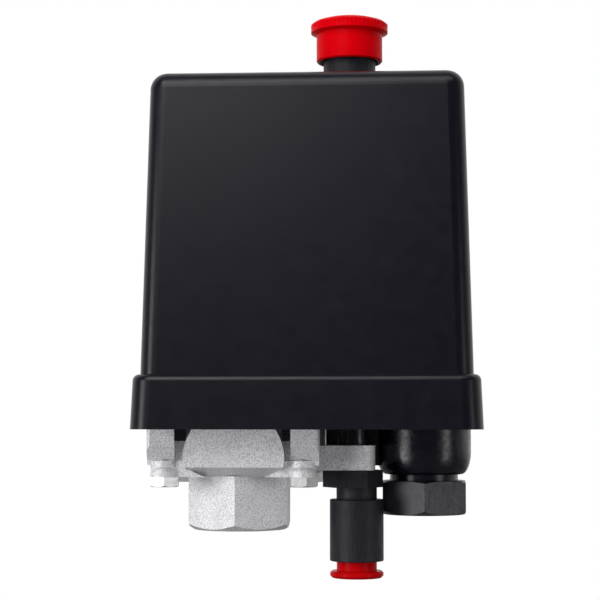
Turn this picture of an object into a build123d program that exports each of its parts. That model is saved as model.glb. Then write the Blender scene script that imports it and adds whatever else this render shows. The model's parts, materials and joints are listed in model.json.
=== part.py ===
"""Pressure switch for a small air compressor, as the separate pieces it comes apart into.

Units are millimetres. +Z is up. The origin is the centre of the port's mouth, where a
pipe nipple screws in from below, and -Y is the front.
"""

from build123d import *
import math
import os

os.makedirs("parts", exist_ok=True)

# ---------------------------------------------------------------- driving dimensions
FIT = 0.05  # radial running clearance of a shaft in its hole
GAP = 0.3  # clearance between neighbours that only pass each other

# Port casting: hexagon below, flange with four screw ears, columns and a blank side boss
HEX_FLATS = 22.3
HEX_TOP = 12.4
PORT_MINOR_R = 7.5
PORT_MAJOR_R = 8.35
PORT_DEPTH = 11.0
PORT_LEAD_IN = 0.45
EAR_TOP = 16.0
EAR_R = 3.15
SCREW_AT = 15.4
SCREW_R = 1.9
SCREW_HOLE_R = 2.1
COLUMN_SLOPE_TOP = 19.1
COLUMN_IN = 12.9
COLUMN_OUT = 19.1
CORE_HALF = 16.2
BOSS_R = 11.2
BOSS_X = 0.3
BOSS_Z = 16.6
BOSS_FLAT_Z = 14.6
BOSS_FACE = 19.4
REGISTER_R = 14.6
CHAMBER_R = 11.5

# Levels of the stack clamped by the four flange screws
TRAY_BOTTOM = 23.4
TRAY_TOP = 25.4
SHEET = 2.0
DIAPHRAGM_TOP = TRAY_TOP + 1.0
FRAME_TOP = DIAPHRAGM_TOP + SHEET

# Unloader valve on the casting's arm, and the push-in tube fitting below it
VALVE_X = 26.2
FITTING_X = 27.05
VALVE_Y = -5.0
ARM_BOTTOM = 13.7
ARM_TOP = 19.25
ARM_END = 31.25
ARM_HALF = 5.5
ARM_CORNER = 2.8
VALVE_HEX_FLATS = 11.85
VALVE_HEX_BOTTOM = 9.8
VALVE_THREAD_R = 3.5
NECK_R = 4.6
FITTING_R = 6.1
FITTING_TOP = 7.1
FITTING_BOTTOM = -6.8
COLLET_NECK_R = 4.55
COLLET_FLANGE_R = 6.05
COLLET_FLANGE_TOP = -9.0
COLLET_BOTTOM = -10.55
TUBE_R = 3.0

# Cable gland under the tray
GLAND_X = 42.4
GLAND_Y = 4.0
GLAND_BOSS_R = 10.95
GLAND_BOSS_BOTTOM = 12.5
BOSS_DRAW_IN = 2.2
BOSS_DRAW_UP = 5.5
GLAND_NECK_R = 7.9
GLAND_BORE_R = 6.0
GLAND_NUT_FLATS = 19.0
GLAND_NUT_TOP = 11.05
GLAND_NUT_BOTTOM = 3.3
CABLE_R = 3.6

# Cover: one moulding with a wider skirt round its foot
COVER_X = 16.8
WALL = 2.0
RIM_BOTTOM = 23.05
RIM_TOP = 34.9
RIM_FOOT = (76.2, 64.0)
RIM_HEAD = (75.2, 63.0)
RIM_CORNER = 4.5
RIM_ROUND = 1.4
BODY_FOOT = (72.4, 60.2)
BODY_HEAD = (68.8, 56.6)
BODY_CORNER = 3.8
COVER_TOP = 101.3
COVER_TOP_RADIUS = 3.7
CEILING = COVER_TOP - WALL

# Knob on top of the cover
KNOB_X = 25.7
KNOB_Y = -8.0
KNOB_FLANGE_R = 8.79
KNOB_SKIRT_R = 7.54
KNOB_BOTTOM = 106.7
KNOB_FLANGE_BOTTOM = 113.4
KNOB_FLANGE_TOP = 115.3
KNOB_TOP = 116.8
STEM_R = 5.95
ROD_R = 3.0
ROD_BOTTOM = 64.6
KNOB_TRAVEL = 5.0

# Rocker lever on its pivot in the steel frame
PIVOT_X = 13.0
PIVOT_Z = 58.0
PIVOT_R = 2.0
LEVER_BOTTOM = PIVOT_Z - 1.5
LEVER_TOP = PIVOT_Z + 1.0
CHEEK_IN = 12.0
CHEEK_OUT = CHEEK_IN + SHEET
TOWER_HALF = 9.0
BRIDGE_BOTTOM = 88.0
BRIDGE_TOP = BRIDGE_BOTTOM + SHEET
COVER_SCREW_X = 11.5
COVER_SCREW_Y = 8.0
COVER_SCREW_R = 1.9
EARTH_AT = (-14.8, 0)
EARTH_SCREW_R = 1.5

# Main spring, its two seats and the adjusting screw
SPRING_R = 7.0
SPRING_WIRE_R = 1.1
SEAT_R = 8.6
LOWER_SEAT_TOP = LEVER_TOP + 1.6
UPPER_SEAT_BOTTOM = 79.0
UPPER_SEAT_TOP = 81.4
ADJUSTER_R = 4.0
ADJUSTER_TOP = 96.0

# Contact block over the cable entry: two poles side by side, four terminals
POLES_X = (36.2, 44.6)
BLOCK_X = (31.2, 49.6)
BLOCK_HALF = 20.5
BLOCK_BOTTOM = 40.0
BLOCK_TOP = 50.0
POCKET_BOTTOM = 42.0
POCKET_HALF = 8.0
LEGS_X = (33.6, 47.2)
LEGS_Y = (-18.0, 18.0)
LEG_R = 2.4
BRIDGE_BAR_TOP = 48.6
TIP_R = 1.5
CONTACT_LEVEL = 49.3
TERMINAL_Y = 14.6
TERMINAL_SCREW_R = 1.6
TIP_Y = 6.2
PUSHER_TOP = 56.2


# ---------------------------------------------------------------- shape helpers
def cylinder(bottom, top, radius, centre=(0, 0), mode=Mode.ADD):
    """Upright cylinder between two levels."""
    with BuildSketch(Plane.XY.offset(bottom)) as profile:
        with Locations(centre):
            Circle(radius)
    extrude(profile.sketch, amount=top - bottom, mode=mode)


def block(xs, ys, zs, corner=0.0, mode=Mode.ADD):
    """Upright box from lowest to highest x, y and z, with rounded upright edges."""
    with BuildSketch(Plane.XY.offset(zs[0])) as profile:
        with Locations(((xs[0] + xs[1]) / 2, (ys[0] + ys[1]) / 2)):
            if corner > 0:
                RectangleRounded(xs[1] - xs[0], ys[1] - ys[0], corner)
            else:
                Rectangle(xs[1] - xs[0], ys[1] - ys[0])
    extrude(profile.sketch, amount=zs[1] - zs[0], mode=mode)


def hexagon(bottom, top, flats, centre=(0, 0), turn=0.0, mode=Mode.ADD):
    """Upright hexagonal prism. With turn 0 two of its corners point along X."""
    with BuildSketch(Plane.XY.offset(bottom)) as profile:
        with Locations(centre):
            RegularPolygon(flats / 2, 6, major_radius=False, rotation=turn)
    extrude(profile.sketch, amount=top - bottom, mode=mode)


def turned(points, centre=(0, 0), mode=Mode.ADD):
    """Body of revolution about an upright axis, from (radius, level) points."""
    with BuildSketch(Plane.XZ) as profile:
        with BuildLine():
            Polyline(*points, close=True)
        make_face()
    with Locations((centre[0], centre[1], 0)):
        add(revolve(profile.sketch, Axis.Z, mode=Mode.PRIVATE), mode=mode)


def coil(bottom, top, radius, wire_r, turns, centre=(0, 0)):
    """Open helical spring whose wire lies between two levels."""
    height = top - bottom - 2 * wire_r
    foot = (centre[0], centre[1], bottom + wire_r)
    path = Helix(height / turns, height, radius, center=foot, mode=Mode.PRIVATE)
    with BuildSketch(Plane(path @ 0, z_dir=path % 0)) as section:
        Circle(wire_r)
    sweep(section.sketch, path, is_frenet=True)


def tapered(bottom, top, foot, head, corner, mode=Mode.ADD):
    """Box with drafted sides round the cover's middle, (x, y) sizes at foot and head."""
    sections = []
    for level, size in ((bottom, foot), (top, head)):
        with BuildSketch(Plane.XY.offset(level)) as profile:
            with Locations((COVER_X, 0)):
                RectangleRounded(size[0], size[1], corner)
        sections.append(profile.sketch)
    loft(Sketch() + sections, mode=mode)


def save(piece, name):
    """Label a finished piece and write it as its own STEP file."""
    piece.part.label = name
    export_step(piece.part, f"parts/{name}.step")


SCREW_CORNERS = [(x, y) for x in (-SCREW_AT, SCREW_AT) for y in (-SCREW_AT, SCREW_AT)]
VALVE_AXIS = (VALVE_X, VALVE_Y)
FITTING_AXIS = (FITTING_X, VALVE_Y)
GLAND_AXIS = (GLAND_X, GLAND_Y)
KNOB_AXIS = (KNOB_X, KNOB_Y)
COVER_SCREW_AXIS = (COVER_SCREW_X, COVER_SCREW_Y)

# ---------------------------------------------------------------- port casting
SLOPE_IN = COLUMN_OUT - 1.9
FLAT_HALF = math.sqrt(BOSS_R**2 - (BOSS_Z - BOSS_FLAT_Z) ** 2)
ARC_DROP = 3.3
ARC_R = (FLAT_HALF**2 + ARC_DROP**2) / (2 * ARC_DROP)
FEED_R = 2.0

with BuildPart() as port_casting:
    # Hexagon with its corners at front and back and a rounded-off lower rim
    hexagon(0, EAR_TOP, HEX_FLATS, turn=30)
    corner_r = HEX_FLATS / 2 / math.cos(math.radians(30))
    turned(
        [(HEX_FLATS / 2 - 0.6, 0), (corner_r + 1, 0), (corner_r + 1, 1.6), (corner_r + 0.2, 1.6)],
        mode=Mode.SUBTRACT,
    )
    # Flange plate, core and round register
    half = CORE_HALF + 0.8
    block((-half, half), (-half, half), (HEX_TOP, EAR_TOP), corner=2.0)
    block((-CORE_HALF, CORE_HALF), (-CORE_HALF, CORE_HALF), (HEX_TOP, TRAY_BOTTOM), corner=1.0)
    cylinder(TRAY_BOTTOM, TRAY_TOP, REGISTER_R)
    # Four columns whose front and back faces slope in towards the screw ears
    for side_x in (-1, 1):
        for side_y in (-1, 1):
            with BuildSketch(Plane.YZ.offset(side_x * COLUMN_IN)) as column:
                with BuildLine():
                    Polyline(
                        (side_y * COLUMN_IN, EAR_TOP - 1),
                        (side_y * SLOPE_IN, EAR_TOP - 1),
                        (side_y * SLOPE_IN, EAR_TOP),
                        (side_y * COLUMN_OUT, COLUMN_SLOPE_TOP),
                        (side_y * COLUMN_OUT, TRAY_BOTTOM),
                        (side_y * COLUMN_IN, TRAY_BOTTOM),
                        close=True,
                    )
                make_face()
            extrude(column.sketch, amount=side_x * (COLUMN_OUT - COLUMN_IN))
    outer = [
        e
        for e in port_casting.edges().filter_by(Axis.Z)
        if abs(abs(e.center().X) - COLUMN_OUT) < 0.01 and abs(abs(e.center().Y) - COLUMN_OUT) < 0.01
    ]
    fillet(outer, 0.9)
    # Domed screw ears
    dome_foot = EAR_TOP - EAR_R
    for corner in SCREW_CORNERS:
        cylinder(HEX_TOP, EAR_TOP, EAR_R, corner)
        out = math.copysign(COLUMN_OUT - EAR_R, corner[1])
        cylinder(HEX_TOP, dome_foot, EAR_R, (corner[0], out))
        with Locations((corner[0], out, dome_foot)):
            Sphere(EAR_R, arc_size1=0, align=(Align.CENTER, Align.CENTER, Align.MIN))
    # Blank side bosses, front and back: a disc cut off flat, with a shallow sloping underside
    for face in (-1, 1):
        plane = Plane.XZ.offset(-face * 10.0)
        with BuildSketch(plane) as lens:
            with Locations((BOSS_X, BOSS_FLAT_Z - ARC_DROP + ARC_R)):
                Circle(ARC_R)
            with Locations((BOSS_X, (BOSS_FLAT_Z + HEX_TOP) / 2)):
                Rectangle(2 * FLAT_HALF, BOSS_FLAT_Z - HEX_TOP, mode=Mode.INTERSECT)
        extrude(lens.sketch, amount=-face * 10, mode=Mode.SUBTRACT)
        with BuildSketch(plane) as disc:
            with Locations((BOSS_X, BOSS_Z)):
                Circle(BOSS_R)
            with Locations((BOSS_X, (BOSS_FLAT_Z + TRAY_BOTTOM) / 2)):
                Rectangle(2 * BOSS_R, TRAY_BOTTOM - BOSS_FLAT_Z, mode=Mode.INTERSECT)
        extrude(disc.sketch, amount=-face * (BOSS_FACE - 10))
        with BuildSketch(Plane.YZ.offset(BOSS_X)) as wedge:
            with BuildLine():
                Polyline(
                    (face * BOSS_FACE, BOSS_FLAT_Z),
                    (face * 11.6, HEX_TOP),
                    (face * 9.0, HEX_TOP),
                    (face * 9.0, BOSS_FLAT_Z + 1),
                    (face * BOSS_FACE, BOSS_FLAT_Z + 1),
                    close=True,
                )
            make_face()
        extrude(wedge.sketch, amount=FLAT_HALF - 0.35, both=True)
    # Arm for the unloader valve
    block(
        (CORE_HALF - 1, ARM_END),
        (VALVE_Y - ARM_HALF, VALVE_Y + ARM_HALF),
        (ARM_BOTTOM, ARM_TOP),
    )
    arm_end = [
        e
        for e in port_casting.edges().filter_by(Axis.Z)
        if abs(e.center().X - ARM_END) < 0.01
    ]
    fillet(arm_end, ARM_CORNER)
    # Port, pressure feed, chamber under the diaphragm, screw holes and valve hole
    cylinder(0, PORT_DEPTH, PORT_MINOR_R, mode=Mode.SUBTRACT)
    turned(
        [(0, 0), (PORT_MAJOR_R, 0), (PORT_MINOR_R, PORT_LEAD_IN), (0, PORT_LEAD_IN)],
        mode=Mode.SUBTRACT,
    )
    cylinder(PORT_DEPTH, TRAY_TOP, FEED_R, mode=Mode.SUBTRACT)
    cylinder(TRAY_TOP - 1.6, TRAY_TOP, CHAMBER_R, mode=Mode.SUBTRACT)
    for corner in SCREW_CORNERS:
        cylinder(HEX_TOP, TRAY_BOTTOM, SCREW_HOLE_R, corner, mode=Mode.SUBTRACT)
    cylinder(ARM_BOTTOM, ARM_TOP, VALVE_THREAD_R + FIT, VALVE_AXIS, mode=Mode.SUBTRACT)
save(port_casting, "port_casting")

# ---------------------------------------------------------------- flange screws
HEAD_FLATS = 6.1
HEAD_BOTTOM = HEX_TOP - 2.2
HEAD_TURNS = (35, 71, 47, 58)  # degrees, as four screws happen to stop

with BuildPart() as flange_screws:
    for corner, turn in zip(SCREW_CORNERS, HEAD_TURNS):
        hexagon(HEAD_BOTTOM, HEX_TOP, HEAD_FLATS, corner, turn)
        turned(
            [(2.9, HEAD_BOTTOM), (5, HEAD_BOTTOM), (5, HEAD_BOTTOM + 1.2)],
            centre=corner,
            mode=Mode.SUBTRACT,
        )
        cylinder(HEX_TOP, FRAME_TOP + 0.9, SCREW_R, corner)
save(flange_screws, "flange_screws")

# ---------------------------------------------------------------- diaphragm and piston
with BuildPart() as diaphragm:
    block((-18.4, 18.4), (-18.4, 18.4), (TRAY_TOP, DIAPHRAGM_TOP), corner=2.5)
    for corner in SCREW_CORNERS:
        cylinder(TRAY_TOP, DIAPHRAGM_TOP, SCREW_HOLE_R, corner, mode=Mode.SUBTRACT)
save(diaphragm, "diaphragm")

PISTON_R = 10.4
PISTON_STEM_R = 5.0
PISTON_TIP = LEVER_BOTTOM - 0.05

with BuildPart() as piston:
    with BuildSketch(Plane.XZ) as half_section:
        with BuildLine():
            Polyline(
                (0, PISTON_TIP),
                (0, DIAPHRAGM_TOP),
                (PISTON_R, DIAPHRAGM_TOP),
                (PISTON_R, DIAPHRAGM_TOP + 2.6),
                (PISTON_STEM_R + 1.5, DIAPHRAGM_TOP + 4.0),
                (PISTON_STEM_R, DIAPHRAGM_TOP + 6.0),
                (PISTON_STEM_R, PISTON_TIP - PISTON_STEM_R),
            )
            # Ball end that the lever rolls on as it tilts
            RadiusArc((PISTON_STEM_R, PISTON_TIP - PISTON_STEM_R), (0, PISTON_TIP), -PISTON_STEM_R)
        make_face()
    revolve(half_section.sketch, Axis.Z)
save(piston, "piston")

# ---------------------------------------------------------------- base tray
TRAY_X = (-18.6, 52.2)
TRAY_HALF = 29.3
TRAY_LIP = 31.0
BOSS_ROOT_R = 10.1
TAB_BOTTOM = 20.4
DUCT_Y = (VALVE_Y + ARM_HALF + GAP, 10.5)

with BuildPart() as base_tray:
    block(TRAY_X, (-TRAY_HALF, TRAY_HALF), (TRAY_BOTTOM, TRAY_LIP), corner=4.0)
    block(
        (TRAY_X[0] + WALL, TRAY_X[1] - WALL),
        (WALL - TRAY_HALF, TRAY_HALF - WALL),
        (TRAY_TOP, TRAY_LIP),
        corner=2.4,
        mode=Mode.SUBTRACT,
    )
    # Notch in the lip where the clamped stack reaches the end of the tray
    block((-20, -16), (-19.2, 19.2), (TRAY_TOP, TRAY_LIP), mode=Mode.SUBTRACT)
    # Gland boss, drawn in towards its lower end, and its threaded neck
    with BuildSketch(Plane.XZ) as boss:
        with BuildLine():
            foot_r = GLAND_BOSS_R - BOSS_DRAW_IN
            shoulder = GLAND_BOSS_BOTTOM + BOSS_DRAW_UP
            Line((0, GLAND_BOSS_BOTTOM), (foot_r, GLAND_BOSS_BOTTOM))
            EllipticalCenterArc(
                (foot_r, shoulder), BOSS_DRAW_IN, BOSS_DRAW_UP, start_angle=270, arc_size=90
            )
            Polyline(
                (GLAND_BOSS_R, shoulder),
                (GLAND_BOSS_R, RIM_BOTTOM - 0.25),
                (BOSS_ROOT_R, RIM_BOTTOM - 0.25),
                (BOSS_ROOT_R, TRAY_TOP),
                (0, TRAY_TOP),
                (0, GLAND_BOSS_BOTTOM),
            )
        make_face()
    with Locations((GLAND_X, GLAND_Y, 0)):
        add(revolve(boss.sketch, Axis.Z, mode=Mode.PRIVATE))
    # Deep duct between the casting and the gland boss, closed below
    block((CORE_HALF + 3.6, GLAND_X), DUCT_Y, (ARM_BOTTOM + 0.8, TRAY_BOTTOM), corner=1.0)
    cylinder(GLAND_NUT_BOTTOM + 2.2, GLAND_BOSS_BOTTOM, GLAND_NECK_R, GLAND_AXIS)
    cylinder(GLAND_NUT_BOTTOM + 2.2, TRAY_TOP, GLAND_BORE_R, GLAND_AXIS, mode=Mode.SUBTRACT)
    block(
        (CORE_HALF + 5.2, GLAND_X - 7.6),
        (DUCT_Y[0] + 1.6, DUCT_Y[1] - 1.6),
        (ARM_BOTTOM + 2.4, TRAY_TOP),
        mode=Mode.SUBTRACT,
    )
    # Sleeve that guides the valve's push pin
    cylinder(ARM_TOP + 0.1, TRAY_BOTTOM, 3.4, VALVE_AXIS)
    cylinder(ARM_TOP + 0.1, TRAY_TOP, 1.6, VALVE_AXIS, mode=Mode.SUBTRACT)
    # Tabs that grip the casting between its boss and columns, front and back
    boss_half = math.sqrt(BOSS_R**2 - (TAB_BOTTOM - BOSS_Z) ** 2)
    for side in (-1, 1):
        for face in (-1, 1):
            xs = sorted((BOSS_X + side * (boss_half + 0.2), side * (COLUMN_IN - 0.2)))
            ys = sorted((face * (CORE_HALF + 0.9), face * (CORE_HALF + 2.6)))
            block(xs, ys, (TAB_BOTTOM, TRAY_BOTTOM))
    # Opening round the casting's register, screw holes and leg screw holes
    cylinder(TRAY_BOTTOM, TRAY_TOP, REGISTER_R + 0.2, mode=Mode.SUBTRACT)
    for corner in SCREW_CORNERS:
        cylinder(TRAY_BOTTOM, TRAY_TOP, SCREW_HOLE_R, corner, mode=Mode.SUBTRACT)
    for leg_x in LEGS_X:
        for leg_y in LEGS_Y:
            turned(
                [(0, TRAY_BOTTOM), (2.7, TRAY_BOTTOM), (1.6, TRAY_BOTTOM + 1.1),
                 (1.6, TRAY_TOP), (0, TRAY_TOP)],
                centre=(leg_x, leg_y),
                mode=Mode.SUBTRACT,
            )
save(base_tray, "base_tray")

# ---------------------------------------------------------------- cable gland
SEAL_TOP = GLAND_NUT_TOP - 0.5
SEAL_BOTTOM = GLAND_NUT_BOTTOM + 2.4

with BuildPart() as gland_seal:
    cylinder(SEAL_BOTTOM, SEAL_TOP, GLAND_BORE_R - FIT, GLAND_AXIS)
    cylinder(SEAL_BOTTOM, SEAL_TOP, CABLE_R, GLAND_AXIS, mode=Mode.SUBTRACT)
save(gland_seal, "gland_seal")

with BuildPart() as gland_washer:
    cylinder(GLAND_NUT_BOTTOM + 1.3, GLAND_NUT_BOTTOM + 2.1, 7.3, GLAND_AXIS)
    cylinder(GLAND_NUT_BOTTOM + 1.3, GLAND_NUT_BOTTOM + 2.1, 4.2, GLAND_AXIS, mode=Mode.SUBTRACT)
save(gland_washer, "gland_washer")

nut_corner = GLAND_NUT_FLATS / 2 / math.cos(math.radians(30))
with BuildPart() as gland_nut:
    hexagon(GLAND_NUT_BOTTOM, GLAND_NUT_TOP, GLAND_NUT_FLATS, GLAND_AXIS, turn=30)
    for end, rise in ((GLAND_NUT_TOP, -0.7), (GLAND_NUT_BOTTOM, 1.7)):
        turned(
            [
                (GLAND_NUT_FLATS / 2 - 0.1, end),
                (nut_corner + 1, end),
                (nut_corner + 1, end + rise),
            ],
            centre=GLAND_AXIS,
            mode=Mode.SUBTRACT,
        )
    cylinder(
        GLAND_NUT_BOTTOM + 1.2, GLAND_NUT_TOP, GLAND_NECK_R + FIT, GLAND_AXIS, mode=Mode.SUBTRACT
    )
    cylinder(GLAND_NUT_BOTTOM, GLAND_NUT_TOP, 5.2, GLAND_AXIS, mode=Mode.SUBTRACT)
    turned(
        [(0, GLAND_NUT_BOTTOM), (6.0, GLAND_NUT_BOTTOM), (5.2, GLAND_NUT_BOTTOM + 0.8),
         (0, GLAND_NUT_BOTTOM + 0.8)],
        centre=GLAND_AXIS,
        mode=Mode.SUBTRACT,
    )
save(gland_nut, "gland_nut")

# ---------------------------------------------------------------- unloader valve
VALVE_CAVITY_R = 3.6
SPIGOT_R = VALVE_CAVITY_R - FIT
CHAMBER_BORE_R = 2.75
VALVE_PIN_R = 1.2
SEAL_DISC_TOP = 12.85
SPRING_SHELF = 5.2

with BuildPart() as valve_body:
    hexagon(VALVE_HEX_BOTTOM, ARM_BOTTOM, VALVE_HEX_FLATS, VALVE_AXIS)
    cylinder(ARM_BOTTOM, ARM_TOP, VALVE_THREAD_R, VALVE_AXIS)
    cylinder(VALVE_HEX_BOTTOM, SEAL_DISC_TOP + 0.05, VALVE_CAVITY_R, VALVE_AXIS, mode=Mode.SUBTRACT)
    cylinder(VALVE_HEX_BOTTOM, ARM_TOP, VALVE_PIN_R + 0.3, VALVE_AXIS, mode=Mode.SUBTRACT)
save(valve_body, "valve_body")

with BuildPart() as tube_fitting:
    cylinder(FITTING_BOTTOM, FITTING_TOP, FITTING_R, FITTING_AXIS)
    mouth = tube_fitting.edges().filter_by(GeomType.CIRCLE)
    fillet(mouth, 0.3)
    cylinder(FITTING_TOP, VALVE_HEX_BOTTOM, NECK_R, FITTING_AXIS)
    cylinder(FITTING_TOP - 0.5, FITTING_TOP, NECK_R, FITTING_AXIS)
    cylinder(VALVE_HEX_BOTTOM, SEAL_DISC_TOP - 0.95, SPIGOT_R, VALVE_AXIS)
    cylinder(SPRING_SHELF, SEAL_DISC_TOP, CHAMBER_BORE_R, VALVE_AXIS, mode=Mode.SUBTRACT)
    cylinder(3.8, SPRING_SHELF, 1.4, FITTING_AXIS, mode=Mode.SUBTRACT)
    cylinder(1.8, 3.8, TUBE_R + FIT, FITTING_AXIS, mode=Mode.SUBTRACT)
    cylinder(0, 1.8, COLLET_NECK_R, FITTING_AXIS, mode=Mode.SUBTRACT)
    cylinder(FITTING_BOTTOM, 0, COLLET_NECK_R + 0.15, FITTING_AXIS, mode=Mode.SUBTRACT)
save(tube_fitting, "tube_fitting")

with BuildPart() as valve_pin:
    cylinder(SEAL_DISC_TOP, LEVER_BOTTOM - 0.6, VALVE_PIN_R, VALVE_AXIS)
    cylinder(LEVER_BOTTOM - 0.6, LEVER_BOTTOM - 0.1, VALVE_PIN_R - 0.4, VALVE_AXIS)
    cylinder(TRAY_TOP + 12, TRAY_TOP + 13, 2.2, VALVE_AXIS)
save(valve_pin, "valve_pin")

with BuildPart() as valve_seal:
    cylinder(SEAL_DISC_TOP - 0.9, SEAL_DISC_TOP, 2.5, VALVE_AXIS)
save(valve_seal, "valve_seal")

with BuildPart() as valve_spring:
    coil(SPRING_SHELF, SEAL_DISC_TOP - 0.9, 2.0, 0.25, 5, VALVE_AXIS)
save(valve_spring, "valve_spring")

with BuildPart() as tube_oring:
    with BuildSketch(Plane.XZ) as section:
        with Locations((TUBE_R + 0.7, 0.9)):
            Circle(0.72)
    with Locations((FITTING_X, VALVE_Y, 0)):
        add(revolve(section.sketch, Axis.Z, mode=Mode.PRIVATE))
save(tube_oring, "tube_oring")

with BuildPart() as grab_ring:
    cylinder(-0.6, -0.25, COLLET_NECK_R + 0.1, FITTING_AXIS)
    cylinder(-0.6, -0.25, TUBE_R + 0.2, FITTING_AXIS, mode=Mode.SUBTRACT)
    with Locations((FITTING_X, VALVE_Y, -0.42)):
        with PolarLocations(COLLET_NECK_R - 0.9, 10):
            Box(1.3, 0.4, 0.6, mode=Mode.SUBTRACT)
save(grab_ring, "grab_ring")

COLLET_BORE_R = TUBE_R + 0.08
with BuildPart() as tube_collet:
    turned(
        [
            (COLLET_BORE_R + 0.7, COLLET_BOTTOM),
            (COLLET_FLANGE_R - 0.5, COLLET_BOTTOM),
            (COLLET_FLANGE_R, COLLET_BOTTOM + 0.5),
            (COLLET_FLANGE_R, COLLET_FLANGE_TOP - 0.4),
            (COLLET_FLANGE_R - 0.4, COLLET_FLANGE_TOP),
            (COLLET_NECK_R, COLLET_FLANGE_TOP),
            (COLLET_NECK_R, -2.7),
            (COLLET_BORE_R, -2.7),
            (COLLET_BORE_R, COLLET_BOTTOM + 0.7),
        ],
        centre=FITTING_AXIS,
    )
    with Locations((FITTING_X, VALVE_Y, -4.0)):
        with PolarLocations(0, 4):
            Box(14, 0.7, 3.0, mode=Mode.SUBTRACT)
save(tube_collet, "tube_collet")

# ---------------------------------------------------------------- steel frame and pivot
PIVOT_EAR_R = 4.5
FRAME_X = (-18.6, 20.6)

with BuildPart() as frame:
    block(FRAME_X, (-18.6, 18.6), (DIAPHRAGM_TOP, FRAME_TOP), corner=2.0)
    cylinder(DIAPHRAGM_TOP, FRAME_TOP, PISTON_R + GAP, mode=Mode.SUBTRACT)
    for corner in SCREW_CORNERS:
        cylinder(DIAPHRAGM_TOP, FRAME_TOP, SCREW_R + FIT, corner, mode=Mode.SUBTRACT)
    # Two upright cheeks, each with an ear for the pivot and a window
    for side in (-1, 1):
        with BuildSketch(Plane.XZ.offset(-side * CHEEK_IN)) as cheek:
            with BuildLine():
                Polyline(
                    (-TOWER_HALF, FRAME_TOP - 0.5),
                    (TOWER_HALF + 4, FRAME_TOP - 0.5),
                    (PIVOT_X + PIVOT_EAR_R, PIVOT_Z - 6),
                    (PIVOT_X + PIVOT_EAR_R, PIVOT_Z + 2),
                    (TOWER_HALF, PIVOT_Z + 9),
                    (TOWER_HALF, BRIDGE_TOP),
                    (-TOWER_HALF, BRIDGE_TOP),
                    close=True,
                )
            make_face()
            with Locations((0, 42)):
                RectangleRounded(10, 16, 2, mode=Mode.SUBTRACT)
            with Locations((0, 74)):
                RectangleRounded(8, 14, 2, mode=Mode.SUBTRACT)
            with Locations((PIVOT_X, PIVOT_Z)):
                Circle(PIVOT_R + FIT, mode=Mode.SUBTRACT)
        extrude(cheek.sketch, amount=-side * SHEET)
    # Bridge over the top, for the adjusting screw and the cover screw
    block((-TOWER_HALF, 15.4), (-CHEEK_OUT, CHEEK_OUT), (BRIDGE_BOTTOM, BRIDGE_TOP))
    cylinder(BRIDGE_BOTTOM, BRIDGE_TOP, ADJUSTER_R + FIT, mode=Mode.SUBTRACT)
    cylinder(
        BRIDGE_BOTTOM, BRIDGE_TOP, COVER_SCREW_R + FIT, COVER_SCREW_AXIS, mode=Mode.SUBTRACT
    )
    cylinder(DIAPHRAGM_TOP, FRAME_TOP, EARTH_SCREW_R + FIT, EARTH_AT, mode=Mode.SUBTRACT)
save(frame, "frame")

PIN_HALF = CHEEK_OUT + 2.2
with BuildPart() as pivot_pin:
    with BuildSketch(Plane.XZ.offset(-PIN_HALF)) as pin:
        with Locations((PIVOT_X, PIVOT_Z)):
            Circle(PIVOT_R)
    extrude(pin.sketch, amount=2 * PIN_HALF)
    chamfer(pivot_pin.edges().filter_by(GeomType.CIRCLE), 0.3)
    for side in (-1, 1):
        with BuildSketch(Plane.XZ.offset(-side * (CHEEK_OUT + 0.3))) as groove:
            with Locations((PIVOT_X, PIVOT_Z)):
                Circle(PIVOT_R + 0.1)
                Circle(PIVOT_R - 0.5, mode=Mode.SUBTRACT)
        extrude(groove.sketch, amount=-side * 0.8, mode=Mode.SUBTRACT)
save(pivot_pin, "pivot_pin")

with BuildPart() as pivot_clips:
    for side in (-1, 1):
        with BuildSketch(Plane.XZ.offset(-side * (CHEEK_OUT + 0.4))) as clip:
            with Locations((PIVOT_X, PIVOT_Z)):
                Circle(PIVOT_R + 1.8)
                Circle(PIVOT_R - 0.45, mode=Mode.SUBTRACT)
            with Locations((PIVOT_X + 2.5, PIVOT_Z)):
                Rectangle(5, 2.6, mode=Mode.SUBTRACT)
        extrude(clip.sketch, amount=-side * 0.6)
save(pivot_clips, "pivot_clips")

# ---------------------------------------------------------------- rocker lever
ARM_TIP = 38.4
with BuildPart() as lever:
    block((-SEAT_R, 22.0), (GAP - CHEEK_IN, CHEEK_IN - GAP), (LEVER_BOTTOM, LEVER_TOP))
    block((20.0, ARM_TIP), (-5, 5), (LEVER_BOTTOM, LEVER_TOP), corner=1.5)
    block((20.0, 29.6), (-11.7, -4), (LEVER_BOTTOM, LEVER_TOP), corner=1.5)
    # Rolled barrel round the pivot pin
    with BuildSketch(Plane.XZ.offset(GAP - CHEEK_IN)) as barrel:
        with Locations((PIVOT_X, PIVOT_Z)):
            Circle(PIVOT_R + 1.8)
    extrude(barrel.sketch, amount=2 * (CHEEK_IN - GAP))
    with BuildSketch(Plane.XZ.offset(-CHEEK_IN)) as bore:
        with Locations((PIVOT_X, PIVOT_Z)):
            Circle(PIVOT_R + FIT)
    extrude(bore.sketch, amount=2 * CHEEK_IN, mode=Mode.SUBTRACT)
    cylinder(LEVER_TOP - 0.6, LEVER_TOP, 3.0, mode=Mode.SUBTRACT)
save(lever, "lever")

with BuildPart() as lower_spring_seat:
    turned(
        [
            (0, LEVER_TOP - 0.6),
            (2.9, LEVER_TOP - 0.6),
            (2.9, LEVER_TOP),
            (SEAT_R, LEVER_TOP),
            (SEAT_R, LOWER_SEAT_TOP),
            (5.4, LOWER_SEAT_TOP),
            (5.0, LOWER_SEAT_TOP + 1.6),
            (0, LOWER_SEAT_TOP + 1.6),
        ]
    )
save(lower_spring_seat, "lower_spring_seat")

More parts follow.
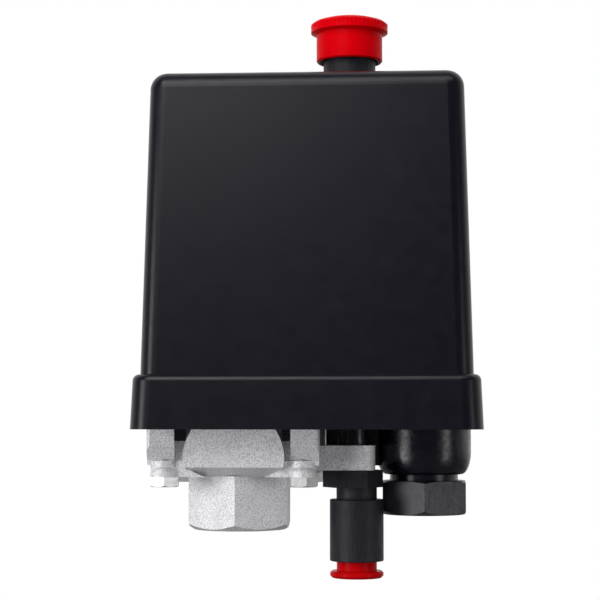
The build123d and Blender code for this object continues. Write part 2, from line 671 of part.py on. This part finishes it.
# ---------------------------------------------------------------- main spring, adjuster
with BuildPart() as main_spring:
    coil(LOWER_SEAT_TOP, UPPER_SEAT_BOTTOM, SPRING_R, SPRING_WIRE_R, 5)
save(main_spring, "main_spring")

with BuildPart() as upper_spring_seat:
    block((-SEAT_R, SEAT_R), (0.2 - CHEEK_IN, CHEEK_IN - 0.2), (UPPER_SEAT_BOTTOM, UPPER_SEAT_TOP))
    cylinder(UPPER_SEAT_BOTTOM - 1.6, UPPER_SEAT_BOTTOM, 5.0)
    turned(
        [(0, UPPER_SEAT_TOP - 1.4), (2.5, UPPER_SEAT_TOP - 1.4), (3.9, UPPER_SEAT_TOP),
         (0, UPPER_SEAT_TOP)],
        mode=Mode.SUBTRACT,
    )
save(upper_spring_seat, "upper_spring_seat")

with BuildPart() as adjusting_screw:
    turned(
        [
            (0, UPPER_SEAT_TOP - 1.3),
            (2.4, UPPER_SEAT_TOP - 1.3),
            (3.4, UPPER_SEAT_TOP - 0.2),
            (3.4, UPPER_SEAT_TOP + 0.3),
            (ADJUSTER_R, UPPER_SEAT_TOP + 0.9),
            (ADJUSTER_R, ADJUSTER_TOP - 0.5),
            (ADJUSTER_R - 0.5, ADJUSTER_TOP),
            (0, ADJUSTER_TOP),
        ]
    )
    block((-5, 5), (-0.6, 0.6), (ADJUSTER_TOP - 1.8, ADJUSTER_TOP), mode=Mode.SUBTRACT)
save(adjusting_screw, "adjusting_screw")

with BuildPart() as lock_nut:
    hexagon(BRIDGE_TOP, BRIDGE_TOP + 4.0, 13.0, turn=12)
    cylinder(BRIDGE_TOP, BRIDGE_TOP + 4.0, ADJUSTER_R + FIT, mode=Mode.SUBTRACT)
    turned(
        [(6.3, BRIDGE_TOP + 4), (9, BRIDGE_TOP + 4), (9, BRIDGE_TOP + 2.8)], mode=Mode.SUBTRACT
    )
save(lock_nut, "lock_nut")

# ---------------------------------------------------------------- contact block
SLOT_X = (BLOCK_X[0] + 1.6, BLOCK_X[1] - 1.6)
hole_r = TERMINAL_SCREW_R + FIT
with BuildPart() as contact_block:
    block(BLOCK_X, (-BLOCK_HALF, BLOCK_HALF), (BLOCK_BOTTOM, BLOCK_TOP), corner=1.0)
    for leg_x in LEGS_X:
        for leg_y in LEGS_Y:
            cylinder(TRAY_TOP, BLOCK_BOTTOM, LEG_R, (leg_x, leg_y))
            cylinder(TRAY_TOP, TRAY_TOP + 8, 1.2, (leg_x, leg_y), mode=Mode.SUBTRACT)
    # Pocket for the moving contacts, and clearance holes for the terminal screws
    block(SLOT_X, (-POCKET_HALF, POCKET_HALF), (POCKET_BOTTOM, BLOCK_TOP), mode=Mode.SUBTRACT)
    for pole_x in POLES_X:
        for side in (-1, 1):
            cylinder(POCKET_BOTTOM, BLOCK_TOP, hole_r, (pole_x, side * TERMINAL_Y), Mode.SUBTRACT)
    # Low wall between the poles, outside the pocket
    for side in (-1, 1):
        ys = sorted((side * 10.0, side * BLOCK_HALF))
        block((40.0, 40.8), ys, (BLOCK_TOP, BLOCK_TOP + 3.4))
save(contact_block, "contact_block")

with BuildPart() as block_screws:
    for leg_x in LEGS_X:
        for leg_y in LEGS_Y:
            turned(
                [
                    (0, TRAY_BOTTOM),
                    (2.6, TRAY_BOTTOM),
                    (1.15, TRAY_BOTTOM + 1.45),
                    (1.15, TRAY_TOP + 6.5),
                    (0, TRAY_TOP + 7.5),
                ],
                centre=(leg_x, leg_y),
            )
            block(
                (leg_x - 1.6, leg_x + 1.6),
                (leg_y - 0.3, leg_y + 0.3),
                (TRAY_BOTTOM, TRAY_BOTTOM + 0.6),
                mode=Mode.SUBTRACT,
            )
save(block_screws, "block_screws")

PLATE_T = 1.0
with BuildPart() as terminal_plates:
    for pole_x in POLES_X:
        for side in (-1, 1):
            ys = sorted((side * 4.6, side * 19.0))
            block((pole_x - 3.0, pole_x + 3.0), ys, (BLOCK_TOP, BLOCK_TOP + PLATE_T), corner=0.8)
            centre = (pole_x, side * TERMINAL_Y)
            cylinder(BLOCK_TOP, BLOCK_TOP + PLATE_T, hole_r, centre, Mode.SUBTRACT)
save(terminal_plates, "terminal_plates")

with BuildPart() as fixed_contacts:
    for pole_x in POLES_X:
        for side in (-1, 1):
            cylinder(CONTACT_LEVEL, BLOCK_TOP, TIP_R, (pole_x, side * TIP_Y))
save(fixed_contacts, "fixed_contacts")

CLAMP_TOP = BLOCK_TOP + PLATE_T + 0.8
with BuildPart() as terminal_clamps:
    for pole_x in POLES_X:
        for side in (-1, 1):
            ys = (side * TERMINAL_Y - 3.2, side * TERMINAL_Y + 3.2)
            block((pole_x - 2.9, pole_x + 2.9), ys, (BLOCK_TOP + PLATE_T, CLAMP_TOP), corner=0.5)
            centre = (pole_x, side * TERMINAL_Y)
            cylinder(BLOCK_TOP, CLAMP_TOP, hole_r, centre, Mode.SUBTRACT)
save(terminal_clamps, "terminal_clamps")

with BuildPart() as terminal_screws:
    for pole_x in POLES_X:
        for side in (-1, 1):
            centre = (pole_x, side * TERMINAL_Y)
            cylinder(POCKET_BOTTOM + 1, CLAMP_TOP, TERMINAL_SCREW_R, centre)
            turned(
                [
                    (0, CLAMP_TOP),
                    (2.8, CLAMP_TOP),
                    (2.8, CLAMP_TOP + 1.2),
                    (2.1, CLAMP_TOP + 1.9),
                    (0, CLAMP_TOP + 2.1),
                ],
                centre=centre,
            )
            for turn in (20, 110):
                with Locations((centre[0], centre[1], CLAMP_TOP + 1.7)):
                    with Locations(Rotation(0, 0, turn)):
                        Box(3.4, 0.7, 1.2, mode=Mode.SUBTRACT)
save(terminal_screws, "terminal_screws")

# ---------------------------------------------------------------- moving contacts
with BuildPart() as contact_carrier:
    block(
        (SLOT_X[0] + GAP, SLOT_X[1] - GAP), (-1.8, 1.8), (BRIDGE_BAR_TOP, BRIDGE_BAR_TOP + 3.0)
    )
    block((POLES_X[0] - 2.6, POLES_X[0] + 2.2), (-3.4, 3.4), (BRIDGE_BAR_TOP + 3.0, PUSHER_TOP - 1))
    with BuildSketch(Plane.XZ.offset(-3.4)) as nose:
        with Locations((POLES_X[0] - 0.2, PUSHER_TOP - 2.4)):
            Circle(2.4)
    extrude(nose.sketch, amount=6.8)
save(contact_carrier, "contact_carrier")

with BuildPart() as contact_bridges:
    for pole_x in POLES_X:
        block(
            (pole_x - 2.0, pole_x + 2.0), (-7.6, 7.6), (BRIDGE_BAR_TOP - 1, BRIDGE_BAR_TOP), corner=1
        )
save(contact_bridges, "contact_bridges")

with BuildPart() as moving_contacts:
    for pole_x in POLES_X:
        for side in (-1, 1):
            cylinder(BRIDGE_BAR_TOP, CONTACT_LEVEL, TIP_R, (pole_x, side * TIP_Y))
save(moving_contacts, "moving_contacts")

with BuildPart() as bridge_springs:
    for pole_x in POLES_X:
        coil(POCKET_BOTTOM, BRIDGE_BAR_TOP - 1, 1.9, 0.28, 4, (pole_x, 0))
save(bridge_springs, "bridge_springs")

# ---------------------------------------------------------------- earth terminal
with BuildPart() as earth_washer:
    cylinder(FRAME_TOP, FRAME_TOP + 0.6, 3.2, EARTH_AT)
    cylinder(FRAME_TOP, FRAME_TOP + 0.6, EARTH_SCREW_R + 0.1, EARTH_AT, Mode.SUBTRACT)
save(earth_washer, "earth_washer")

with BuildPart() as earth_screw:
    cylinder(DIAPHRAGM_TOP, FRAME_TOP + 0.6, EARTH_SCREW_R, EARTH_AT)
    turned(
        [
            (0, FRAME_TOP + 0.6),
            (2.8, FRAME_TOP + 0.6),
            (2.8, FRAME_TOP + 1.9),
            (2.1, FRAME_TOP + 2.6),
            (0, FRAME_TOP + 2.8),
        ],
        centre=EARTH_AT,
    )
    with Locations((EARTH_AT[0], EARTH_AT[1], FRAME_TOP + 2.4)):
        Box(0.7, 3.6, 1.2, mode=Mode.SUBTRACT)
        Box(3.6, 0.7, 1.2, mode=Mode.SUBTRACT)
save(earth_screw, "earth_screw")

# ---------------------------------------------------------------- cover
GUIDE_R = 8.6
GUIDE_BORE_R = 7.7
GUIDE_BOTTOM = 88.5
CLIP_LEVEL = 90.2
CLIP_OFFSET = STEM_R + 0.8
WELL_R = 4.3
WELL_DEPTH = 3.0


def inset(size):
    """The (x, y) size of the inside face of a wall."""
    return (size[0] - 2 * WALL, size[1] - 2 * WALL)


with BuildPart() as cover:
    tapered(RIM_TOP - 4, COVER_TOP, BODY_FOOT, BODY_HEAD, BODY_CORNER)
    fillet(cover.faces().sort_by(Axis.Z)[-1].edges(), COVER_TOP_RADIUS)
    tapered(RIM_BOTTOM, RIM_TOP, RIM_FOOT, RIM_HEAD, RIM_CORNER)
    step = [
        e
        for e in cover.edges()
        if abs(e.center().Z - RIM_TOP) < 0.01
        and e.bounding_box().size.Z < 0.01
        and (abs(e.center().Y) > 31 or abs(e.center().X - COVER_X) > 36.6)
    ]
    fillet(step, RIM_ROUND)
    # Hollow out the skirt and the body
    tapered(
        RIM_BOTTOM, RIM_TOP - WALL, inset(RIM_FOOT), inset(RIM_HEAD), RIM_CORNER - 1.5, Mode.SUBTRACT
    )
    tapered(
        RIM_BOTTOM, CEILING, inset(BODY_FOOT), inset(BODY_HEAD), BODY_CORNER - WALL, Mode.SUBTRACT
    )
    # Guide tube for the knob's stem, with slots for the detent clip
    cylinder(GUIDE_BOTTOM, CEILING, GUIDE_R, KNOB_AXIS)
    cylinder(GUIDE_BOTTOM, CEILING, GUIDE_BORE_R, KNOB_AXIS, Mode.SUBTRACT)
    cylinder(CEILING, COVER_TOP, STEM_R + 0.15, KNOB_AXIS, Mode.SUBTRACT)
    for side in (-1, 1):
        middle = KNOB_Y + side * CLIP_OFFSET
        block(
            (KNOB_X - 11, KNOB_X + 11),
            (middle - 0.8, middle + 0.8),
            (CLIP_LEVEL - 0.8, CLIP_LEVEL + 0.8),
            mode=Mode.SUBTRACT,
        )
    # Pillar and well for the cover screw
    cylinder(BRIDGE_TOP + 0.1, CEILING, 5.4, COVER_SCREW_AXIS)
    cylinder(COVER_TOP - WELL_DEPTH, COVER_TOP, WELL_R, COVER_SCREW_AXIS, Mode.SUBTRACT)
    cylinder(BRIDGE_TOP + 0.1, COVER_TOP, 2.15, COVER_SCREW_AXIS, Mode.SUBTRACT)
save(cover, "cover")

with BuildPart() as cover_screw:
    seat = COVER_TOP - WELL_DEPTH
    cylinder(BRIDGE_BOTTOM - 4, seat, COVER_SCREW_R, COVER_SCREW_AXIS)
    turned(
        [(0, seat), (3.9, seat), (3.9, seat + 1.4), (3.0, seat + 2.3), (0, seat + 2.6)],
        centre=COVER_SCREW_AXIS,
    )
    with Locations((COVER_SCREW_X, COVER_SCREW_Y, seat + 2.2)):
        Box(0.9, 4.4, 1.4, mode=Mode.SUBTRACT)
        Box(4.4, 0.9, 1.4, mode=Mode.SUBTRACT)
save(cover_screw, "cover_screw")

CLIP_WIRE_R = 0.55
CLIP_END = 9.3
with BuildPart() as detent_clip:
    with BuildLine(Plane.XY.offset(CLIP_LEVEL)) as wire:
        FilletPolyline(
            (KNOB_X - CLIP_END, KNOB_Y - CLIP_OFFSET),
            (KNOB_X + CLIP_END, KNOB_Y - CLIP_OFFSET),
            (KNOB_X + CLIP_END, KNOB_Y + CLIP_OFFSET),
            (KNOB_X - CLIP_END, KNOB_Y + CLIP_OFFSET),
            radius=2.5,
        )
    with BuildSketch(Plane(wire.wire() @ 0, z_dir=wire.wire() % 0)) as section:
        Circle(CLIP_WIRE_R)
    sweep(section.sketch, wire.wire())
save(detent_clip, "detent_clip")

# ---------------------------------------------------------------- knob
SERRATIONS = 56
with BuildPart() as knob_cap:
    turned(
        [
            (0, KNOB_TOP - 3.2),
            (STEM_R + FIT, KNOB_TOP - 3.2),
            (STEM_R + FIT, KNOB_BOTTOM + 1.2),
            (STEM_R + 0.9, KNOB_BOTTOM),
            (KNOB_SKIRT_R - 0.3, KNOB_BOTTOM),
            (KNOB_SKIRT_R, KNOB_BOTTOM + 0.3),
            (KNOB_SKIRT_R, KNOB_FLANGE_BOTTOM - 0.4),
            (KNOB_FLANGE_R, KNOB_FLANGE_BOTTOM + 0.1),
            (KNOB_FLANGE_R, KNOB_FLANGE_TOP),
            (KNOB_FLANGE_R - 0.7, KNOB_FLANGE_TOP + 0.55),
            (KNOB_FLANGE_R - 2.6, KNOB_TOP - 0.35),
            (4.0, KNOB_TOP - 0.08),
            (0, KNOB_TOP),
        ],
        centre=KNOB_AXIS,
    )
    with BuildSketch(Plane.XY.offset(KNOB_FLANGE_BOTTOM + 0.9)) as grooves:
        with Locations(KNOB_AXIS):
            with PolarLocations(KNOB_FLANGE_R + 0.1, SERRATIONS):
                Circle(0.28)
    extrude(grooves.sketch, amount=3.0, mode=Mode.SUBTRACT)
save(knob_cap, "knob_cap")

with BuildPart() as knob_stem:
    turned(
        [
            (0, ROD_BOTTOM),
            (ROD_R - 0.6, ROD_BOTTOM),
            (ROD_R, ROD_BOTTOM + 0.6),
            (ROD_R, 82.0),
            (STEM_R, 84.0),
            (STEM_R, CLIP_LEVEL - 0.6),
            (STEM_R - 0.5, CLIP_LEVEL),
            (STEM_R, CLIP_LEVEL + 0.6),
            (STEM_R, CLIP_LEVEL + KNOB_TRAVEL - 0.6),
            (STEM_R - 0.5, CLIP_LEVEL + KNOB_TRAVEL),
            (STEM_R, CLIP_LEVEL + KNOB_TRAVEL + 0.6),
            (STEM_R, 97.0),
            (7.3, 97.0),
            (7.3, CEILING - 0.4),
            (STEM_R, CEILING - 0.4),
            (STEM_R, KNOB_TOP - 3.4),
            (0, KNOB_TOP - 3.4),
        ],
        centre=KNOB_AXIS,
    )
save(knob_stem, "knob_stem")
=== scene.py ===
"""Looks for the pressure switch: finishes, softened edges, small surface detail, studio.

Metres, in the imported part's own frame. +Z is up and -Y is the front. Sizes written as
n * MM are millimetres.
"""

import json
import math

import bmesh
import bpy
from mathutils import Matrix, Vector


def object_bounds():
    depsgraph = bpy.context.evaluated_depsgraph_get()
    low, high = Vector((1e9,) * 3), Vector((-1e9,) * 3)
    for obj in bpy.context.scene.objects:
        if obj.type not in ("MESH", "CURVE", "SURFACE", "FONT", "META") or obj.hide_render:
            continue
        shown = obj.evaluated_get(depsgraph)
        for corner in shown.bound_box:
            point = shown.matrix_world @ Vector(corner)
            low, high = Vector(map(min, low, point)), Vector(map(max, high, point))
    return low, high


MM = 0.001

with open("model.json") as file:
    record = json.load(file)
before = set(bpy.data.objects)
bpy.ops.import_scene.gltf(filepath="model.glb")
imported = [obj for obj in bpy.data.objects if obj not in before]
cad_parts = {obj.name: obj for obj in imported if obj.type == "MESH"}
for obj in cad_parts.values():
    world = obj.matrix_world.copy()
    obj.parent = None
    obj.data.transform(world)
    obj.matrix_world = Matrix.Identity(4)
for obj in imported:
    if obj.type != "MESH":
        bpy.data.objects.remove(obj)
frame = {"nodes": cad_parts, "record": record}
cad_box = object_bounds()
nodes = frame["nodes"]


# ---------------------------------------------------------------- node helpers
class Finish:
    """A procedural material on object coordinates, built up a layer at a time."""

    def __init__(self, name, color, roughness, metallic=0.0, **sockets):
        self.material = bpy.data.materials.new(name)
        self.material.use_nodes = True
        self.tree = self.material.node_tree
        self.shader = self.tree.nodes["Principled BSDF"]
        self.shader.inputs["Base Color"].default_value = (*color, 1.0)
        self.shader.inputs["Roughness"].default_value = roughness
        self.shader.inputs["Metallic"].default_value = metallic
        for socket, value in sockets.items():
            self.shader.inputs[socket.replace("_", " ")].default_value = value
        self.coords = self.add("ShaderNodeTexCoord").outputs["Object"]
        self.normal = None

    def add(self, kind, **settings):
        node = self.tree.nodes.new(kind)
        for name, value in settings.items():
            setattr(node, name, value)
        return node

    def link(self, source, target):
        self.tree.links.new(source, target)
        return target

    def stretched(self, scale):
        """Object coordinates scaled differently along each axis."""
        mapping = self.add("ShaderNodeMapping")
        mapping.inputs["Scale"].default_value = scale
        self.link(self.coords, mapping.inputs["Vector"])
        return mapping.outputs["Vector"]

    def noise(self, size, detail=3.0, rough=0.55, stretch=(1, 1, 1)):
        """Noise whose features are about size metres across, from 0 to 1."""
        node = self.add("ShaderNodeTexNoise")
        node.inputs["Scale"].default_value = 1.0
        node.inputs["Detail"].default_value = detail
        node.inputs["Roughness"].default_value = rough
        self.link(self.stretched(tuple(s / size for s in stretch)), node.inputs["Vector"])
        return node.outputs["Fac"]

    def ramp(self, factor, *stops, ease="LINEAR"):
        """Colour ramp through (position, colour or grey) stops."""
        node = self.add("ShaderNodeValToRGB")
        node.color_ramp.interpolation = ease
        elements = node.color_ramp.elements
        while len(elements) < len(stops):
            elements.new(0.5)
        for element, (position, value) in zip(elements, stops):
            element.position = position
            rgb = value if isinstance(value, tuple) else (value, value, value)
            element.color = (*rgb, 1.0)
        self.link(factor, node.inputs["Fac"])
        return node.outputs["Color"]

    def mix(self, factor, one, other, blend="MIX"):
        """Colour between one and other, either of which may be a colour or a socket."""
        node = self.add("ShaderNodeMix", data_type="RGBA", blend_type=blend)
        colour_in = [s for s in node.inputs if s.type == "RGBA"]
        for value, socket in zip((one, other), colour_in):
            if isinstance(value, tuple):
                socket.default_value = (*value, 1.0)
            else:
                self.link(value, socket)
        if isinstance(factor, float):
            node.inputs[0].default_value = factor
        else:
            self.link(factor, node.inputs[0])
        return next(s for s in node.outputs if s.type == "RGBA")

    def math(self, operation, one, other=0.0):
        node = self.add("ShaderNodeMath", operation=operation)
        for value, socket in zip((one, other), node.inputs):
            if isinstance(value, (int, float)):
                socket.default_value = value
            else:
                self.link(value, socket)
        return node.outputs[0]

    def bump(self, height, distance, strength=1.0):
        """Adds surface relief of about distance metres on top of what is there."""
        node = self.add("ShaderNodeBump")
        node.inputs["Distance"].default_value = distance
        node.inputs["Strength"].default_value = strength
        self.link(height, node.inputs["Height"])
        if self.normal is not None:
            self.link(self.normal, node.inputs["Normal"])
        self.normal = node.outputs["Normal"]
        self.link(self.normal, self.shader.inputs["Normal"])

    def color(self, socket):
        self.link(socket, self.shader.inputs["Base Color"])

    def roughness(self, socket):
        self.link(socket, self.shader.inputs["Roughness"])


# ---------------------------------------------------------------- finishes
def cast_aluminium():
    """Tumbled die-cast aluminium: bright, with a fine dark grain and shallow pits."""
    f = Finish("cast_aluminium", (0.7, 0.7, 0.7), 0.6, metallic=0.5)
    grain = f.noise(0.26 * MM, detail=3.0, rough=0.7)
    patches = f.noise(6 * MM, detail=2.0)
    base = f.ramp(
        grain,
        (0.34, (0.46, 0.45, 0.48)),
        (0.52, (0.86, 0.85, 0.88)),
        (0.66, (1.0, 0.99, 1.0)),
    )
    worn = f.ramp(patches, (0.3, 0.9), (0.7, 1.0))
    f.color(f.mix(1.0, base, worn, "MULTIPLY"))
    f.roughness(f.ramp(grain, (0.3, 0.66), (0.7, 0.54)))
    f.bump(grain, 0.10 * MM, 0.8)
    f.bump(f.noise(1.6 * MM, detail=2.0), 0.10 * MM, 0.5)
    return f.material


def satin_black():
    """The cover's satin black moulding, with faint flow marks and a fine texture."""
    f = Finish("satin_black", (0.002, 0.002, 0.0025), 0.34, Specular_IOR_Level=0.26)
    flow = f.noise(22 * MM, detail=3.0, stretch=(1, 1, 0.25))
    texture = f.noise(0.25 * MM, detail=2.0)
    f.color(f.ramp(flow, (0.3, (0.0014, 0.0010, 0.0044)), (0.7, (0.0024, 0.0020, 0.0060))))
    f.roughness(f.ramp(f.noise(3 * MM, detail=4.0), (0.3, 0.28), (0.7, 0.34)))
    f.bump(texture, 0.008 * MM, 0.5)
    f.bump(f.noise(14 * MM, detail=1.0, stretch=(1, 1, 0.4)), 0.04 * MM, 0.2)
    return f.material


def gloss_black():
    """Glossy black moulding of the tray and its gland boss, with a wavy skin."""
    f = Finish("gloss_black", (0.003, 0.003, 0.004), 0.18, Specular_IOR_Level=0.3)
    f.color(f.ramp(f.noise(5 * MM), (0.35, (0.003, 0.003, 0.008)), (0.65, (0.006, 0.006, 0.012))))
    f.roughness(f.ramp(f.noise(1.2 * MM, detail=4.0), (0.35, 0.22), (0.7, 0.36)))
    f.bump(f.noise(6 * MM, detail=2.0), 0.35 * MM, 0.5)
    return f.material


def moulded_grey():
    """Dark grey half-gloss resin of the gland nut."""
    f = Finish("moulded_grey", (0.02, 0.02, 0.023), 0.34, Specular_IOR_Level=0.26)
    f.color(f.ramp(f.noise(4 * MM), (0.3, (0.020, 0.020, 0.026)), (0.7, (0.031, 0.031, 0.038))))
    f.roughness(f.ramp(f.noise(0.8 * MM, detail=4.0), (0.3, 0.28), (0.7, 0.42)))
    f.bump(f.noise(3 * MM, detail=2.0), 0.06 * MM, 0.4)
    return f.material


def matt_black():
    """Matt black resin with fine drag marks along its length."""
    f = Finish("matt_black", (0.007, 0.007, 0.008), 0.5, Specular_IOR_Level=0.26)
    drag = f.noise(0.35 * MM, detail=3.0, stretch=(1, 1, 0.12))
    f.color(f.ramp(drag, (0.3, (0.005, 0.0047, 0.0085)), (0.7, (0.016, 0.0155, 0.021))))
    f.roughness(f.ramp(f.noise(1.5 * MM), (0.3, 0.48), (0.7, 0.62)))
    f.bump(drag, 0.02 * MM, 0.5)
    return f.material


def gloss_red(name, color):
    """Glossy red moulding with slightly uneven colour and gloss."""
    f = Finish(name, color, 0.3, Specular_IOR_Level=0.02)
    deeper = tuple(c * 0.82 for c in color)
    f.color(f.mix(f.noise(3 * MM), color, deeper))
    f.roughness(f.ramp(f.noise(1 * MM, detail=4.0), (0.3, 0.24), (0.7, 0.36)))
    f.bump(f.noise(2.5 * MM), 0.03 * MM, 0.4)
    return f.material


def plated(name, color, roughness, grain=0.3 * MM, stretch=(1, 1, 1), metallic=1.0):
    """Bright plated or drawn metal with fine variation in gloss."""
    f = Finish(name, color, roughness, metallic)
    fine = f.noise(grain, detail=3.0, stretch=stretch)
    dull = tuple(c * 0.72 for c in color)
    f.color(f.mix(f.ramp(f.noise(1.8 * MM), (0.35, 0.0), (0.75, 1.0)), color, dull))
    f.roughness(f.ramp(fine, (0.3, roughness * 0.7), (0.7, roughness * 1.4)))
    f.bump(fine, 0.01 * MM, 0.6)
    return f.material


def rubber():
    f = Finish("rubber", (0.018, 0.018, 0.018), 0.75)
    f.color(f.ramp(f.noise(1 * MM), (0.3, (0.014, 0.014, 0.014)), (0.7, (0.028, 0.028, 0.028))))
    f.bump(f.noise(0.2 * MM), 0.02 * MM, 0.6)
    return f.material


def phenolic():
    """Brown-black moulded phenolic with pale filler flecks."""
    f = Finish("phenolic", (0.05, 0.026, 0.018), 0.38)
    flecks = f.ramp(f.noise(0.5 * MM, detail=4.0), (0.62, 0.0), (0.75, 1.0))
    f.color(f.mix(flecks, (0.045, 0.022, 0.015), (0.13, 0.085, 0.06)))
    f.bump(f.noise(0.3 * MM), 0.015 * MM, 0.5)
    return f.material


finishes = {
    "cast_aluminium": cast_aluminium(),
    "cover_plastic": satin_black(),
    "tray_plastic": gloss_black(),
    "nut_plastic": moulded_grey(),
    "valve_black": matt_black(),
    "fitting_black": matt_black(),
    "stem_black": matt_black(),
    "knob_red": gloss_red("knob_red", (0.68, 0.0, 0.004)),
    "collet_red": gloss_red("collet_red", (0.52, 0.002, 0.004)),
    "zinc_fastener": plated("zinc_fastener", (0.66, 0.66, 0.66), 0.36, metallic=0.5),
    "zinc_sheet": plated("zinc_sheet", (0.70, 0.70, 0.68), 0.34, 0.5 * MM, (0.1, 1, 1)),
    "ground_steel": plated("ground_steel", (0.58, 0.58, 0.58), 0.22),
    "spring_steel": plated("spring_steel", (0.40, 0.40, 0.41), 0.3),
    "piston_metal": plated("piston_metal", (0.74, 0.74, 0.72), 0.3),
    "rubber_black": rubber(),
    "bakelite": phenolic(),
    "terminal_brass": plated("terminal_brass", (0.82, 0.60, 0.26), 0.28),
    "contact_silver": plated("contact_silver", (0.86, 0.86, 0.84), 0.2),
}

for part in frame["record"]["subparts"]:
    piece = nodes[part["node"]]
    for material_slot in piece.material_slots:
        material_slot.material = finishes[part["material_slot"]]

# ---------------------------------------------------------------- softened edges
def soften(node, width, angle=28, segments=3):
    """Rounds a piece's sharp edges by width metres, as casting and moulding leave them."""
    bevel = nodes[node].modifiers.new("soft_edges", "BEVEL")
    bevel.width = width
    bevel.segments = segments
    bevel.limit_method = "ANGLE"
    bevel.angle_limit = math.radians(angle)
    bevel.use_clamp_overlap = True
    bevel.harden_normals = True


soften("port_casting", 0.35 * MM)
soften("gland_nut", 0.22 * MM)
soften("tube_fitting", 0.15 * MM, segments=2)
soften("valve_body", 0.15 * MM, segments=2)
soften("flange_screws", 0.15 * MM, segments=2)

# ---------------------------------------------------------------- camera
AZIMUTH = math.radians(3.5)
PITCH = math.radians(3.87)
LENS = 102.0
SENSOR = 36.0
EYE = Vector((37.91, -393.42, 26.13)) * MM

camera_data = bpy.data.cameras.new("camera")
camera_data.lens = LENS
camera_data.sensor_width = SENSOR
camera_data.clip_start = 10 * MM
camera = bpy.data.objects.new("camera", camera_data)
camera.location = EYE
camera.rotation_euler = (math.pi / 2 + PITCH, 0, AZIMUTH)
bpy.context.scene.collection.objects.link(camera)
bpy.context.scene.camera = camera

# ---------------------------------------------------------------- studio
low, high = cad_box
middle = (low + high) / 2
FLOOR_DROP = 1.0
FLOOR_R = 4.0
ROOM_R = 5.0
# Brightness of the room's sides, as a share of plain white
ROOM_FRONT = 0.11
ROOM_BELOW = 0.18
ROOM_SIDE = 0.5
ROOM_BACK = 1.1


def disc(name, radius, z, segments=96):
    mesh = bpy.data.meshes.new(name)
    built = bmesh.new()
    bmesh.ops.create_circle(built, cap_ends=True, radius=radius, segments=segments)
    built.to_mesh(mesh)
    built.free()
    obj = bpy.data.objects.new(name, mesh)
    obj.location.z = z
    bpy.context.scene.collection.objects.link(obj)
    return obj


def glow(name):
    """A plain white emitter, as bright in every direction."""
    f = Finish(name, (0.0, 0.0, 0.0), 1.0, Emission_Strength=1.0)
    f.shader.inputs["Emission Color"].default_value = (1, 1, 1, 1)
    return f


floor = disc("floor", FLOOR_R, low.z - FLOOR_DROP)
floor.data.materials.append(glow("floor").material)
floor.visible_diffuse = False
floor.visible_glossy = False

world = bpy.data.worlds.new("studio")
bpy.context.scene.world = world
world.use_nodes = True
world.node_tree.nodes["Background"].inputs["Color"].default_value = (1, 1, 1, 1)
world.node_tree.nodes["Background"].inputs["Strength"].default_value = 1.0

# The room round the object is dark in front, pale behind, and unseen by the camera
room_mesh = bpy.data.meshes.new("room")
built = bmesh.new()
bmesh.ops.create_uvsphere(built, u_segments=48, v_segments=24, radius=ROOM_R)
built.to_mesh(room_mesh)
built.free()
room = bpy.data.objects.new("room", room_mesh)
bpy.context.scene.collection.objects.link(room)
room_finish = glow("room")
axes = room_finish.add("ShaderNodeSeparateXYZ")
room_finish.link(room_finish.coords, axes.inputs[0])


def from_side(axis):
    """0 at one end of the room along an axis, 1 at the other."""
    return room_finish.math(
        "ADD", room_finish.math("DIVIDE", axes.outputs[axis], 2 * ROOM_R), 0.5
    )


walls = room_finish.ramp(
    from_side("Y"), (0.36, ROOM_FRONT), (0.52, ROOM_SIDE), (0.72, ROOM_BACK)
)
above = room_finish.ramp(from_side("Z"), (0.36, 0.0), (0.5, 1.0))
room_finish.link(
    room_finish.mix(above, (ROOM_BELOW, ROOM_BELOW, ROOM_BELOW), walls),
    room_finish.shader.inputs["Emission Color"],
)
room_mesh.materials.append(room_finish.material)
room.visible_camera = False
room.visible_shadow = False


def softbox(name, azimuth, height, size, radiance, distance=0.9):
    """Rectangular light facing the object, at an azimuth in degrees from the front."""
    data = bpy.data.lights.new(name, "AREA")
    data.shape = "RECTANGLE"
    data.size, data.size_y = size
    data.energy = radiance * math.pi * size[0] * size[1]
    lamp = bpy.data.objects.new(name, data)
    turn = math.radians(azimuth)
    place = middle + Vector((distance * math.sin(turn), -distance * math.cos(turn), height))
    lamp.location = place
    lamp.rotation_euler = (middle - place).to_track_quat("-Z", "Y").to_euler()
    lamp.visible_camera = False
    bpy.context.scene.collection.objects.link(lamp)


softbox("key", -51, -0.12, (0.34, 0.50), 7.7)
softbox("rim", 56, -0.16, (0.24, 0.40), 5.0)
softbox("upper", -20, 0.57, (0.62, 0.68), 4.6)
softbox("front", 4, 1.05, (1.4, 0.5), 2.9, distance=0.7)

bpy.context.scene.view_settings.view_transform = "Standard"
